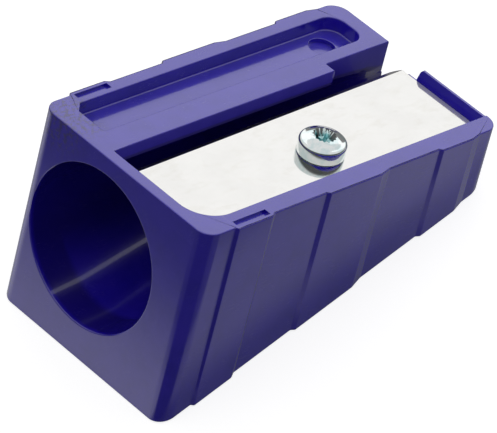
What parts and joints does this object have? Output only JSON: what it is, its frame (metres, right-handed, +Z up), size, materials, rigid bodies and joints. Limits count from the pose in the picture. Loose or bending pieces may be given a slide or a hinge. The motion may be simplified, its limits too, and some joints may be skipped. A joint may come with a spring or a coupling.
{
  "type": "pencil sharpener",
  "caption": "Wedge-shaped one-hole pencil sharpener for thick pencils: moulded blue body, screwed-on ground steel blade, shavings slot beside its cutting edge.",
  "frame": {"origin": "centre of the bounding box on the surface that the sharpener stands on", "axes": "+Z up from the flat underside, +X from the pencil hole to the small end, +Y to the side away from the blade"},
  "size_m": [0.0428, 0.0228, 0.02],
  "materials": {
    "moulded_plastic": "glossy moulded deep blue plastic",
    "blade_steel": "finely ground, almost mirror-bright hardened steel",
    "screw_steel": "bright zinc-plated steel"
  },
  "bodies": {
    "body": {"body": "moulded_plastic"},
    "blade": {"blade": "blade_steel"},
    "screw": {"screw": "screw_steel"}
  },
  "joints": [
    {"name": "blade_lift", "type": "slide", "parent": "body", "child": "blade", "axis": [0.3454, 0, 0.9385], "range_m": [0, 0.0072]},
    {"name": "screw_turn", "type": "hinge", "parent": "blade", "child": "screw", "pos_m": [0.0046, -0.00494, 0.01079], "axis": [0.3454, 0, 0.9385], "range_deg": [0, 3241]}
  ],
  "couplings": [
    {"joint": "screw_turn", "follows": "blade_lift", "rad_per_m": 7854}
  ]
}
